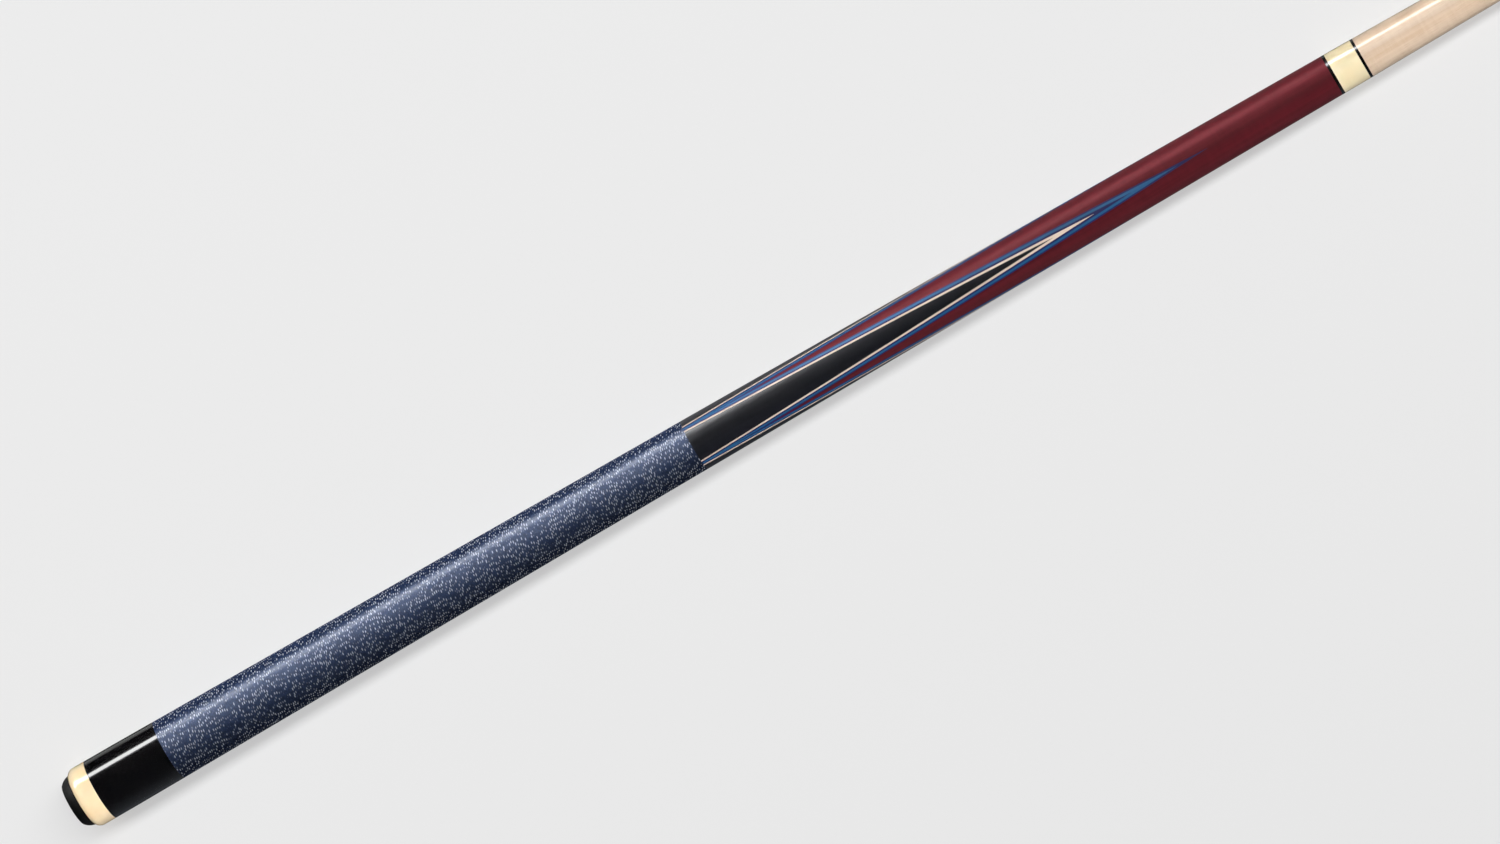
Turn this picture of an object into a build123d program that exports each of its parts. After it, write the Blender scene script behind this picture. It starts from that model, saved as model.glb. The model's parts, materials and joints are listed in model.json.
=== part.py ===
from build123d import *

import math
import os

# A two-piece pool cue, assembled. Millimetres.
# +X runs along the axis from the bumper to the tip, and +Z is up.
# The origin is the centre of the bumper's end face.

# Stations along the axis
TOTAL_LENGTH = 1473.2
CAP_START = 5.4
SLEEVE_START = 16.0
WRAP_START = 56.2
FOREARM_START = 361.0
JOINT_RING_START = 726.9
COLLAR_START = 728.5
JOINT_FACE = 743.0
SHAFT_SHOULDER = 744.5

# Outside of the butt: one cone from the joint, then a short straight end
JOINT_RADIUS = 10.75
BUTT_RADIUS = 16.25
CONE_START = 31.0
CONE_SLOPE = (BUTT_RADIUS - JOINT_RADIUS) / (JOINT_FACE - CONE_START)

# Butt cap and bumper
CAP_END_RADIUS = 14.0
CAP_CORNER_RADIUS = 4.5
BUMPER_SIDE_BULGE = 0.5
BUMPER_RIM_START = 0.45
BUMPER_RIM_RADIUS = 11.4
BUMPER_RIM_BULGE = 0.12
BUMPER_FACE_RADIUS = 10.4
STEM_RADIUS = 9.1
STEM_BORE_RADIUS = 9.2
STEM_END = 11.4

# Handle
HANDLE_TENON_START = 12.0
HANDLE_TENON_RADIUS = 10.5
WRAP_THICKNESS = 0.45

# Weight bolt and the bumper screw that threads into its tail
WEIGHT_RADIUS = 6.35
WEIGHT_START = 14.0
WEIGHT_LENGTH = 60.0
WEIGHT_TAP_DEPTH = 18.0
WEIGHT_TAP_RADIUS = 3.0
SCREW_RADIUS = 2.95
SCREW_END = 28.0
SCREW_HOLE_RADIUS = 3.2
SCREW_HEAD_RADIUS = 4.8
SCREW_HEAD_START = 1.0
SCREW_HEAD_FLAT_RADIUS = 2.6
SCREW_HEAD_BULGE = 0.56
SCREW_POINT_LENGTH = 1.0
SCREW_POINT_RADIUS = 2.05
WASHER_START = 3.6
WASHER_THICKNESS = 1.0
WASHER_RADIUS = 5.5
COUNTERBORE_RADIUS = 5.6
DRIVE_WIDTH = 1.3
DRIVE_SPAN = 4.8
DRIVE_DEPTH = 1.6

# Stud that joins the handle core to the forearm
STUD_RADIUS = 4.7625
STUD_START = 321.0
STUD_END = 421.0

# Joint between the butt and the shaft
JOINT_TENON_RADIUS = 7.5
PIN_RADIUS = 4.7625
PIN_START = 683.0
PIN_END = 771.0
PIN_NOSE = 1.5
INSERT_RADIUS = 6.2
INSERT_BORE_RADIUS = 4.85
INSERT_LENGTH = 32.0
PIN_SOCKET_DEPTH = 36.0
SHAFT_RING_BORE_RADIUS = 7.56

# Shaft, ferrule and tip
SHAFT_BASE_RADIUS = 10.7
TAPER_BREAK = 1090.0
TAPER_BREAK_RADIUS = 6.5
TAPER_BLEND_RADIUS = 20000.0
FERRULE_RADIUS = 6.375
FERRULE_LENGTH = 25.4
FERRULE_TENON_RADIUS = 4.0
FERRULE_TENON_LENGTH = 20.0
PAD_THICKNESS = 1.0
TIP_HEIGHT = 6.0
TIP_DOME_RADIUS = 10.6

# Inlaid points: four grooves of a right-angled V, each lined with four veneers
POINT_COUNT = 4
POINT_MEET = 399.0
POINT_RISE = 0.0443
VENEERS = [
    ("navy_outer_veneer", 0.64),
    ("blue_veneer", 0.97),
    ("navy_inner_veneer", 0.78),
    ("cream_veneer", 0.86),
]
GROOVE_REACH = 30.0
GROOVE_OVERRUN = 1.0

TIP_BASE = TOTAL_LENGTH - TIP_HEIGHT
PAD_START = TIP_BASE - PAD_THICKNESS
FERRULE_START = PAD_START - FERRULE_LENGTH


def butt_radius(x):
    """Outside radius of the butt at a station of its cone."""
    return JOINT_RADIUS + CONE_SLOPE * (JOINT_FACE - x)


def turned(*edges):
    """A solid of revolution about the axis, from the edges of its (x, radius) outline."""
    return revolve(make_face(list(edges)), Axis.X)


def turned_polygon(*points):
    """A solid of revolution about the axis, from the corners of its (x, radius) outline."""
    return turned(Polyline(*points, close=True))


def rod(start, end, radius):
    """A plain cylinder along the axis."""
    return turned_polygon((start, 0), (end, 0), (end, radius), (start, radius))


def tube(start, end, inner, outer_start, outer_end):
    """A straight bore inside a straight or conical outside."""
    return turned_polygon((start, inner), (end, inner), (end, outer_end), (start, outer_start))


def butt_tube(start, end, inner):
    """A length of the butt's cone with a straight bore."""
    return tube(start, end, inner, butt_radius(start), butt_radius(end))


# ---- Butt end ----


def make_bumper():
    """Rubber bumper: rounded end, a stem in the cap, and a counterbore for the screw head."""
    rim = (BUMPER_RIM_START, BUMPER_RIM_RADIUS)
    face = (0, BUMPER_FACE_RADIUS)
    side = SagittaArc((CAP_START, CAP_END_RADIUS), rim, -BUMPER_SIDE_BULGE)
    corner = SagittaArc(rim, face, -BUMPER_RIM_BULGE)
    inside = Polyline(
        face,
        (0, 0),
        (STEM_END, 0),
        (STEM_END, STEM_RADIUS),
        (CAP_START, STEM_RADIUS),
        (CAP_START, CAP_END_RADIUS),
    )
    counterbore = rod(0, WASHER_START + WASHER_THICKNESS, COUNTERBORE_RADIUS)
    return turned(side, corner, inside) - counterbore - rod(0, STEM_END, SCREW_HOLE_RADIUS)


def make_bumper_washer():
    """Flat washer at the bottom of the bumper's counterbore."""
    end = WASHER_START + WASHER_THICKNESS
    return tube(WASHER_START, end, SCREW_HOLE_RADIUS, WASHER_RADIUS, WASHER_RADIUS)


def make_bumper_screw():
    """Pan-head screw with a cross recess."""
    head_flat = (SCREW_HEAD_START, SCREW_HEAD_FLAT_RADIUS)
    rounding = SagittaArc((WASHER_START, SCREW_HEAD_RADIUS), head_flat, -SCREW_HEAD_BULGE)
    body = Polyline(
        head_flat,
        (SCREW_HEAD_START, 0),
        (SCREW_END, 0),
        (SCREW_END, SCREW_POINT_RADIUS),
        (SCREW_END - SCREW_POINT_LENGTH, SCREW_RADIUS),
        (WASHER_START, SCREW_RADIUS),
        (WASHER_START, SCREW_HEAD_RADIUS),
    )
    slot = Pos(SCREW_HEAD_START, 0, 0) * Box(2 * DRIVE_DEPTH, DRIVE_SPAN, DRIVE_WIDTH)
    return turned(rounding, body) - slot - Rot(X=90) * slot


def make_butt_cap():
    """Cap ring: a rounded rim, a recess for the bumper's stem and a socket for the handle."""
    corner_top = BUTT_RADIUS - CAP_CORNER_RADIUS
    drop = CAP_END_RADIUS - corner_top
    reach = math.sqrt(CAP_CORNER_RADIUS**2 - drop**2)
    centre_x = CAP_START + reach
    middle = (math.pi / 2 + math.atan2(drop, -reach)) / 2
    rim = ThreePointArc(
        (CAP_START, CAP_END_RADIUS),
        (
            centre_x + CAP_CORNER_RADIUS * math.cos(middle),
            corner_top + CAP_CORNER_RADIUS * math.sin(middle),
        ),
        (centre_x, BUTT_RADIUS),
    )
    inside = Polyline(
        (centre_x, BUTT_RADIUS),
        (SLEEVE_START, BUTT_RADIUS),
        (SLEEVE_START, HANDLE_TENON_RADIUS),
        (HANDLE_TENON_START, HANDLE_TENON_RADIUS),
        (HANDLE_TENON_START, STEM_BORE_RADIUS),
        (CAP_START, STEM_BORE_RADIUS),
        (CAP_START, CAP_END_RADIUS),
    )
    return turned(rim, inside)


def make_butt_sleeve():
    """Sleeve over the handle's rear tenon: straight, then the start of the cone."""
    return turned_polygon(
        (SLEEVE_START, HANDLE_TENON_RADIUS),
        (WRAP_START, HANDLE_TENON_RADIUS),
        (WRAP_START, butt_radius(WRAP_START)),
        (CONE_START, BUTT_RADIUS),
        (SLEEVE_START, BUTT_RADIUS),
    )


# ---- Handle ----


def make_handle_core():
    """Wooden handle: a rear tenon, then the core under the wrap, bored at both ends."""
    core = turned_polygon(
        (HANDLE_TENON_START, 0),
        (FOREARM_START, 0),
        (FOREARM_START, butt_radius(FOREARM_START) - WRAP_THICKNESS),
        (WRAP_START, butt_radius(WRAP_START) - WRAP_THICKNESS),
        (WRAP_START, HANDLE_TENON_RADIUS),
        (HANDLE_TENON_START, HANDLE_TENON_RADIUS),
    )
    weight_bore = rod(HANDLE_TENON_START, WEIGHT_START + WEIGHT_LENGTH, WEIGHT_RADIUS)
    return core - weight_bore - rod(STUD_START, FOREARM_START, STUD_RADIUS)


def make_wrap():
    """Linen wrap, flush with the sleeve and the forearm."""
    thread = WRAP_THICKNESS
    return turned_polygon(
        (WRAP_START, butt_radius(WRAP_START) - thread),
        (FOREARM_START, butt_radius(FOREARM_START) - thread),
        (FOREARM_START, butt_radius(FOREARM_START)),
        (WRAP_START, butt_radius(WRAP_START)),
    )


def make_weight_bolt():
    """Balance weight, with a tapped hole in its tail."""
    tap = rod(WEIGHT_START, WEIGHT_START + WEIGHT_TAP_DEPTH, WEIGHT_TAP_RADIUS)
    return rod(WEIGHT_START, WEIGHT_START + WEIGHT_LENGTH, WEIGHT_RADIUS) - tap


# ---- Forearm and its points ----


def groove(depth_step):
    """A V groove that opens upwards and grows shallower towards the joint.

    depth_step is how far its bottom lies above that of the outermost groove.
    """
    start = FOREARM_START - GROOVE_OVERRUN
    bottom = POINT_RISE * (start - POINT_MEET) + depth_step
    section = Plane.YZ.offset(start) * make_face(
        Polyline(
            (0, bottom),
            (GROOVE_REACH, bottom + GROOVE_REACH),
            (-GROOVE_REACH, bottom + GROOVE_REACH),
            close=True,
        )
    )
    along = Vector(1, 0, POINT_RISE)
    return extrude(section, amount=JOINT_FACE - start, dir=along)


def quadrant():
    """The upper quarter of the butt, where one point may lie."""
    start = FOREARM_START
    section = Plane.YZ.offset(start) * make_face(
        Polyline((0, 0), (GROOVE_REACH, GROOVE_REACH), (-GROOVE_REACH, GROOVE_REACH), close=True)
    )
    return extrude(section, amount=JOINT_RING_START - start, dir=Vector(1, 0, 0))


def groove_steps():
    """How far each groove's bottom lies above the outermost one's, outermost first."""
    steps = [0.0]
    for _, thickness in VENEERS:
        steps.append(steps[-1] + thickness * math.sqrt(2))
    return steps


def make_upper_point():
    """The upper point and its veneers, as a list of (name, solid), outermost veneer first."""
    outside = butt_tube(FOREARM_START, JOINT_RING_START, 0)
    space = (outside & quadrant()) - rod(STUD_START, STUD_END, STUD_RADIUS)
    fills = [space & groove(step) for step in groove_steps()]
    layers = [
        (name, outer - inner) for (name, _), outer, inner in zip(VENEERS, fills, fills[1:])
    ]
    return layers + [("black", fills[-1])]


def make_forearm():
    """Forearm: grooved for the points, bored for the stud and the joint pin."""
    blank = butt_tube(FOREARM_START, JOINT_RING_START, 0)
    tenon = rod(JOINT_RING_START, JOINT_FACE, JOINT_TENON_RADIUS)
    for index in range(POINT_COUNT):
        blank -= Rot(X=360 / POINT_COUNT * index) * groove(0)
    bores = rod(STUD_START, STUD_END, STUD_RADIUS) + rod(PIN_START, JOINT_FACE, PIN_RADIUS)
    return blank + tenon - bores


def make_a_joint_stud():
    """Stud that holds the forearm to the handle core."""
    return rod(STUD_START, STUD_END, STUD_RADIUS)


# ---- Joint ----


def make_joint_pin():
    """Joint pin, fixed in the forearm, with a tapered nose."""
    return turned_polygon(
        (PIN_START, 0),
        (PIN_END, 0),
        (PIN_END, PIN_RADIUS - PIN_NOSE),
        (PIN_END - PIN_NOSE, PIN_RADIUS),
        (PIN_START, PIN_RADIUS),
    )


def make_shaft_ring():
    """Thin ring round the shaft's tenon, with the butt's taper carried on."""
    return tube(
        JOINT_FACE,
        SHAFT_SHOULDER,
        SHAFT_RING_BORE_RADIUS,
        JOINT_RADIUS,
        butt_radius(SHAFT_SHOULDER),
    )


def make_shaft_insert():
    """Threaded bush in the end of the shaft."""
    return tube(
        JOINT_FACE,
        JOINT_FACE + INSERT_LENGTH,
        INSERT_BORE_RADIUS,
        INSERT_RADIUS,
        INSERT_RADIUS,
    )


# ---- Shaft ----


def make_shaft():
    """Maple shaft: a tenon at the joint, a taper, a nearly straight front, a ferrule tenon."""
    taper = FilletPolyline(
        (SHAFT_SHOULDER, SHAFT_BASE_RADIUS),
        (TAPER_BREAK, TAPER_BREAK_RADIUS),
        (FERRULE_START, FERRULE_RADIUS),
        radius=TAPER_BLEND_RADIUS,
    )
    front = Polyline(
        (FERRULE_START, FERRULE_RADIUS),
        (FERRULE_START, FERRULE_TENON_RADIUS),
        (FERRULE_START + FERRULE_TENON_LENGTH, FERRULE_TENON_RADIUS),
        (FERRULE_START + FERRULE_TENON_LENGTH, 0),
        (JOINT_FACE, 0),
        (JOINT_FACE, JOINT_TENON_RADIUS),
        (SHAFT_SHOULDER, JOINT_TENON_RADIUS),
        (SHAFT_SHOULDER, SHAFT_BASE_RADIUS),
    )
    insert_bore = rod(JOINT_FACE, JOINT_FACE + INSERT_LENGTH, INSERT_RADIUS)
    pin_clearance = rod(JOINT_FACE, JOINT_FACE + PIN_SOCKET_DEPTH, INSERT_BORE_RADIUS)
    return turned(taper, front) - insert_bore - pin_clearance


def make_ferrule():
    """Ferrule: a cap over the shaft's front tenon."""
    return rod(FERRULE_START, PAD_START, FERRULE_RADIUS) - rod(
        FERRULE_START, FERRULE_START + FERRULE_TENON_LENGTH, FERRULE_TENON_RADIUS
    )


def make_tip_pad():
    """Fibre pad between the ferrule and the tip."""
    return rod(PAD_START, TIP_BASE, FERRULE_RADIUS)


def make_tip():
    """Leather tip with a domed face."""
    dome_centre = TOTAL_LENGTH - TIP_DOME_RADIUS
    half_angle = math.asin(FERRULE_RADIUS / TIP_DOME_RADIUS)
    dome_edge = dome_centre + TIP_DOME_RADIUS * math.cos(half_angle)
    dome = ThreePointArc(
        (TOTAL_LENGTH, 0),
        (
            dome_centre + TIP_DOME_RADIUS * math.cos(half_angle / 2),
            TIP_DOME_RADIUS * math.sin(half_angle / 2),
        ),
        (dome_edge, FERRULE_RADIUS),
    )
    side = Polyline(dome @ 1, (TIP_BASE, FERRULE_RADIUS), (TIP_BASE, 0), (TOTAL_LENGTH, 0))
    return turned(dome, side)


# ---- The whole cue ----


def make_parts():
    """Every sub-part, by node name."""
    parts = {
        "bumper": make_bumper(),
        "bumper_washer": make_bumper_washer(),
        "bumper_screw": make_bumper_screw(),
        "butt_cap": make_butt_cap(),
        "butt_sleeve": make_butt_sleeve(),
        "handle_core": make_handle_core(),
        "wrap": make_wrap(),
        "weight_bolt": make_weight_bolt(),
        "a_joint_stud": make_a_joint_stud(),
        "forearm": make_forearm(),
        "joint_ring": butt_tube(JOINT_RING_START, COLLAR_START, JOINT_TENON_RADIUS),
        "joint_collar": butt_tube(COLLAR_START, JOINT_FACE, JOINT_TENON_RADIUS),
        "joint_pin": make_joint_pin(),
        "shaft_ring": make_shaft_ring(),
        "shaft_insert": make_shaft_insert(),
        "shaft": make_shaft(),
        "ferrule": make_ferrule(),
        "tip_pad": make_tip_pad(),
        "tip": make_tip(),
    }
    for name, layer in make_upper_point():
        for index in range(POINT_COUNT):
            turn = 360 / POINT_COUNT * index
            parts[f"point_{index + 1}_{name}"] = Rot(X=turn) * layer
    return parts


os.makedirs("parts", exist_ok=True)
for node, shape in make_parts().items():
    export_step(shape, f"parts/{node}.step")
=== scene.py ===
"""A two-piece pool cue lying on a pale floor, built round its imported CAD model.

Metres. +X runs along the cue from the bumper to the tip, and +Z is up.
"""

import json
import math

import bmesh
import bpy
import numpy as np
from mathutils import Matrix, Vector

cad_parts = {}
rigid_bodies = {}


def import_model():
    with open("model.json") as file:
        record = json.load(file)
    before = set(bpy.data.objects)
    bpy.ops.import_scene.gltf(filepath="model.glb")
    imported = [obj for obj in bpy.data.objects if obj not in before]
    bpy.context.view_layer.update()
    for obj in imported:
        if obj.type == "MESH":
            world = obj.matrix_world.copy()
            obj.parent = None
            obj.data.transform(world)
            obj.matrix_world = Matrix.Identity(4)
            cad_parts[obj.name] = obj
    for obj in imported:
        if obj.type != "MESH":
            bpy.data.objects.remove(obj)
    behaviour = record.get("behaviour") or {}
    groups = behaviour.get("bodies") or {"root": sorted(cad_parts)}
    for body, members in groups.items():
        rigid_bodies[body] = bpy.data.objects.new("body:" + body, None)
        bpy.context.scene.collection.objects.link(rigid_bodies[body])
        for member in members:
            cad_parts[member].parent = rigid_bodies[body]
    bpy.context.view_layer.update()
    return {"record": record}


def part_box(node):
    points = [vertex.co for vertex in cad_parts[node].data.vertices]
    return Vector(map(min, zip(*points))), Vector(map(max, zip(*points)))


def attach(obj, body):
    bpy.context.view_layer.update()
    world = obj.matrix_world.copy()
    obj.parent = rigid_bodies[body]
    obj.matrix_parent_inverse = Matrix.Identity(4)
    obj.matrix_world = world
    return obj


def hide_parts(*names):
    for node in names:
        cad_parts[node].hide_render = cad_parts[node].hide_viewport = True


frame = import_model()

MM = 0.001
TURN = 2 * math.pi

# ---- Stations and radii, from the frame ----


def starts(node):
    """Where a CAD node begins along the cue."""
    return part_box(node)[0].x


def ends(node):
    """Where a CAD node ends along the cue."""
    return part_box(node)[1].x


def widest(node):
    """The largest radius of a round CAD node."""
    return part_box(node)[1].y


HEAD_START = starts("bumper_screw")
WASHER_START = starts("bumper_washer")
WASHER_END = ends("bumper_washer")
CAP_START = starts("butt_cap")
STEM_END = ends("bumper")
HANDLE_START = starts("handle_core")
WEIGHT_START = starts("weight_bolt")
SCREW_END = ends("bumper_screw")
SLEEVE_START = starts("butt_sleeve")
WRAP_START = starts("wrap")
WEIGHT_END = ends("weight_bolt")
STUD_START = starts("a_joint_stud")
FOREARM_START = ends("wrap")
STUD_END = ends("a_joint_stud")
PIN_START = starts("joint_pin")
RING_START = starts("joint_ring")
JOINT_FACE = ends("joint_collar")
SHOULDER = ends("shaft_ring")
INSERT_END = ends("shaft_insert")
PIN_END = ends("joint_pin")
FERRULE_START = starts("ferrule")
PAD_START = starts("tip_pad")
TIP_START = starts("tip")
CUE_END = ends("tip")

HEAD_RADIUS = widest("bumper_screw")
WASHER_RADIUS = widest("bumper_washer")
BUMPER_RADIUS = widest("bumper")
WEIGHT_RADIUS = widest("weight_bolt")
BUTT_RADIUS = widest("butt_sleeve")
STUD_RADIUS = widest("a_joint_stud")
RING_RADIUS = widest("joint_ring")
PIN_RADIUS = widest("joint_pin")
INSERT_RADIUS = widest("shaft_insert")
SHAFT_RADIUS = widest("shaft")
FERRULE_RADIUS = widest("ferrule")
CONE_SLOPE = (widest("wrap") - RING_RADIUS) / (RING_START - WRAP_START)
CONE_START = RING_START - (BUTT_RADIUS - RING_RADIUS) / CONE_SLOPE


def cone_radius(x):
    """Outside radius of the butt at a station, or at an array of stations."""
    return np.minimum(RING_RADIUS + CONE_SLOPE * (RING_START - x), BUTT_RADIUS)


# ---- Sizes that the frame's boxes don't give ----

# The bumper and its screw. The rim is a point of the outline, as (x, radius)
BUMPER_FACE = 10.4 * MM
BUMPER_RIM = (0.45 * MM, 11.4 * MM)
BUMPER_SIDE_BULGE = 0.5 * MM
BUMPER_FACE_BULGE = 0.12 * MM
COUNTERBORE = 5.6 * MM
STEM_RADIUS = 9.1 * MM
WASHER_HOLE = 3.2 * MM
HEAD_FLAT = 2.6 * MM
HEAD_BULGE = 0.56 * MM
DRIVE_SPAN = 4.8 * MM
DRIVE_WIDTH = 1.3 * MM
DRIVE_DEPTH = 1.6 * MM
DRIVE_PROUD = 0.3 * MM
DRIVE_TAPER = 0.55

# The cap, the handle and the wrap
CAP_RIM_RADIUS = 4.5 * MM
STEM_BORE = 9.2 * MM
HANDLE_TENON = 10.5 * MM
WRAP_THICKNESS = 0.45 * MM

# The joint, the shaft with its change of taper, and the tip
JOINT_TENON = 7.5 * MM
RING_BORE = 7.56 * MM
PIN_SOCKET_DEPTH = 36 * MM
PIN_CLEARANCE = 4.85 * MM
FERRULE_TENON = 4.0 * MM
FERRULE_TENON_LENGTH = 20 * MM
TAPER_BREAK = 1090 * MM
TAPER_BREAK_RADIUS = 6.5 * MM
TAPER_BLEND = 118 * MM
TIP_DOME = 10.6 * MM

# Threads: a nose narrows the far end, and a gap keeps an inner thread off its screw or pin
SCREW_RADIUS = 2.95 * MM
SCREW_PITCH = 1.0 * MM
SCREW_DEPTH = 0.55 * MM
SCREW_NOSE = 0.9 * MM
SCREW_GAP = 0.05 * MM
TAP_DEPTH = 18 * MM
WEIGHT_PITCH = 1.9 * MM
WEIGHT_DEPTH = 1.0 * MM
WEIGHT_NOSE = 1.0 * MM
STUD_PITCH = 1.5875 * MM
STUD_DEPTH = 0.85 * MM
STUD_NOSE = 1.0 * MM
JOINT_PITCH = 2.54 * MM
JOINT_DEPTH = 1.45 * MM
JOINT_GAP = 0.1 * MM
PIN_NOSE = 1.5 * MM
CREST_FLAT = 0.15
FLANK_SLOPE = 2.7

# Inlaid points: the grooves' bottoms rise towards the joint, and veneers line each groove
POINT_MEET = 399 * MM
POINT_RISE = 0.0443
VENEERS = {
    "navy_outer_veneer": 0.64 * MM,
    "blue_veneer": 0.97 * MM,
    "navy_inner_veneer": 0.78 * MM,
    "cream_veneer": 0.86 * MM,
}
POINT_COUNT = 4

# The linen thread, and the pale flecks along it. A fleck's place, length and strength go by chance
LINEN_PITCH = 0.55 * MM
LINEN_RELIEF = 0.07 * MM
LINEN_FADE = 1.0 * MM
FLECKS_PER_TURN = 17.5
FLECK_DRIFT = 2.4
FLECK_PLACES = (0.32, 0.68)
FLECK_SLANT = 0.2
FLECK_HALF_WIDTH = 0.32 * MM
FLECK_HALF_LENGTHS = (0.35 * MM, 0.95 * MM)
FLECK_EDGE = (1.35, 0.15)
FLECK_STRENGTH = (0.05, 0.7)
OTHER_DRAW = 17.3
GLOSS_FADE = (0.18, 0.4)

# ---- How finely the meshes are divided, and how their edges are eased ----

COLUMNS = 128
SKIN_COLUMNS = 14
THREAD_ROWS = 12
THREAD_COLUMNS = 48
LINEN_ROWS = 3
LINEN_COLUMNS = 56
STATION_STEP = 5 * MM
SHARP = math.radians(35)
LINEN_SHARP = math.radians(60)

# How far an eased corner reaches along its sides, the most of a side that it takes, and the
# cosine under which a corner is too straight to need easing
EASE = 0.06 * MM
BUMPER_EASE = 0.12 * MM
WASHER_EASE = 0.15 * MM
TIP_EASE = 0.25 * MM
EASE_SHARE = 0.4
STRAIGHT = -0.95

# Closer points are one point, smaller faces are dropped, and the skin is found to this tolerance
POINT_TOLERANCE = 1e-7
SKIN_TOLERANCE = 1e-6
LEAST_AREA = 1e-12

# ---- The camera ----

CAMERA_PLACE = Vector((0.743, 0.10, 4.4))
CAMERA_TARGET = Vector((0.391, -0.004, 0.0))
CAMERA_LENS = 213
CAMERA_REACH = 100
CUE_SLANT = math.radians(30.1)


def make_camera():
    """Looks down on the butt, with the cue rising to the right across the frame."""
    forward = (CAMERA_TARGET - CAMERA_PLACE).normalized()
    along = Vector((1, 0, 0))
    along = (along - along.dot(forward) * forward).normalized()
    across = (-forward).cross(along)
    right = math.cos(CUE_SLANT) * along - math.sin(CUE_SLANT) * across
    up = math.sin(CUE_SLANT) * along + math.cos(CUE_SLANT) * across
    data = bpy.data.cameras.new("camera")
    data.lens = CAMERA_LENS
    data.clip_end = CAMERA_REACH
    camera = bpy.data.objects.new("camera", data)
    camera.matrix_world = (
        Matrix.Translation(CAMERA_PLACE) @ Matrix((right, up, -forward)).transposed().to_4x4()
    )
    bpy.context.scene.collection.objects.link(camera)
    bpy.context.scene.camera = camera


# ---- Mesh building ----


def solid(name, *parts, sharp=SHARP):
    """One mesh from parts, each (points, faces), joined where their points meet.

    Edges that turn by more than sharp stay sharp, and everything else is shaded smooth.
    """
    points, faces = [], []
    for part_points, part_faces in parts:
        faces += [[index + len(points) for index in face] for face in part_faces]
        points += list(part_points)
    mesh = bpy.data.meshes.new(name)
    mesh.from_pydata(points, [], faces)
    work = bmesh.new()
    work.from_mesh(mesh)
    bmesh.ops.remove_doubles(work, verts=work.verts, dist=POINT_TOLERANCE)
    flat = [face for face in work.faces if face.calc_area() < LEAST_AREA]
    bmesh.ops.delete(work, geom=flat, context="FACES")
    bmesh.ops.delete(work, geom=[edge for edge in work.edges if edge.is_wire], context="EDGES")
    bmesh.ops.recalc_face_normals(work, faces=work.faces)
    for face in work.faces:
        face.smooth = True
    work.to_mesh(mesh)
    work.free()
    mesh.set_sharp_from_angle(angle=sharp)
    return mesh


def turned(outline, columns=COLUMNS, closed=True):
    """Points and faces of an (x, radius) outline turned about the cue's axis."""
    angles = TURN * np.arange(columns) / columns
    points = [
        (x, radius * math.cos(angle), radius * math.sin(angle))
        for x, radius in outline
        for angle in angles
    ]
    count = len(outline)
    steps = range(count if closed else count - 1)
    faces = []
    for row in steps:
        here, there = row * columns, (row + 1) % count * columns
        for column in range(columns):
            beside = (column + 1) % columns
            faces.append((here + column, there + column, there + beside, here + beside))
    return points, faces


def eased(outline, ease=EASE, steps=4):
    """A closed outline with its corners rounded off, apart from those on the axis."""
    result = []
    for index, corner in enumerate(outline):
        here = np.array(corner)
        before = np.array(outline[index - 1]) - here
        after = np.array(outline[(index + 1) % len(outline)]) - here
        lengths = np.linalg.norm(before), np.linalg.norm(after)
        straight = np.dot(before, after) / (lengths[0] * lengths[1]) < STRAIGHT
        if corner[1] == 0 or straight:
            result.append(corner)
            continue
        first = here + before / lengths[0] * min(ease, lengths[0] * EASE_SHARE)
        last = here + after / lengths[1] * min(ease, lengths[1] * EASE_SHARE)
        for t in np.linspace(0, 1, steps):
            point = (1 - t) ** 2 * first + 2 * t * (1 - t) * here + t**2 * last
            result.append(tuple(point))
    return result


def bow(start, end, rise, steps=10):
    """A shallow arc between two points of an outline, its middle this far to their left."""
    start, end = np.array(start), np.array(end)
    chord = end - start
    left = np.array((-chord[1], chord[0])) / np.linalg.norm(chord)
    return [
        tuple(start + chord * t + left * 4 * rise * t * (1 - t)) for t in np.linspace(0, 1, steps)
    ]


def arc(centre, radius, start, end, steps=12):
    """An arc of an outline about a centre, between two angles in degrees."""
    return [
        (centre[0] + radius * math.cos(a), centre[1] + radius * math.sin(a))
        for a in np.radians(np.linspace(start, end, steps))
    ]


def helical(start, end, pitch, rows, columns, radius_at):
    """Points and faces of a surface whose rows follow a right-handed thread.

    radius_at(x, phase) is its radius. The phase goes from 0 to 1 across a turn of the thread,
    and is 0 where x is a whole number of pitches on the +Y side.
    """
    first = math.floor(start / pitch * rows) - rows
    last = math.ceil(end / pitch * rows) + rows
    row = np.arange(first, last + 1)[:, None]
    column = np.arange(columns)[None, :]
    x = np.clip(pitch * (row / rows + column / columns), start, end)
    phase = x / pitch - column / columns
    radius = radius_at(x, phase % 1)
    angle = TURN * column / columns
    points = np.stack([x, radius * np.cos(angle), radius * np.sin(angle)], axis=-1)
    height = len(row)
    here = np.arange(height - 1)[:, None] * columns + column
    beside = here + 1
    beside[:, -1] = np.minimum(np.arange(height - 1) + rows, height - 1) * columns
    above = here + columns
    above_beside = beside + columns
    above_beside[:, -1] = np.minimum(np.arange(height - 1) + rows + 1, height - 1) * columns
    faces = np.stack([here, above, above_beside, beside], axis=-1).reshape(-1, 4)
    return points.reshape(-1, 3).tolist(), faces.tolist()


# ---- Materials ----


def srgb(red, green, blue):
    """A linear colour from 8-bit display values."""
    values = np.array((red, green, blue)) / 255
    linear = np.where(values > 0.04045, ((values + 0.055) / 1.055) ** 2.4, values / 12.92)
    return (*map(float, linear), 1.0)


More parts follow.
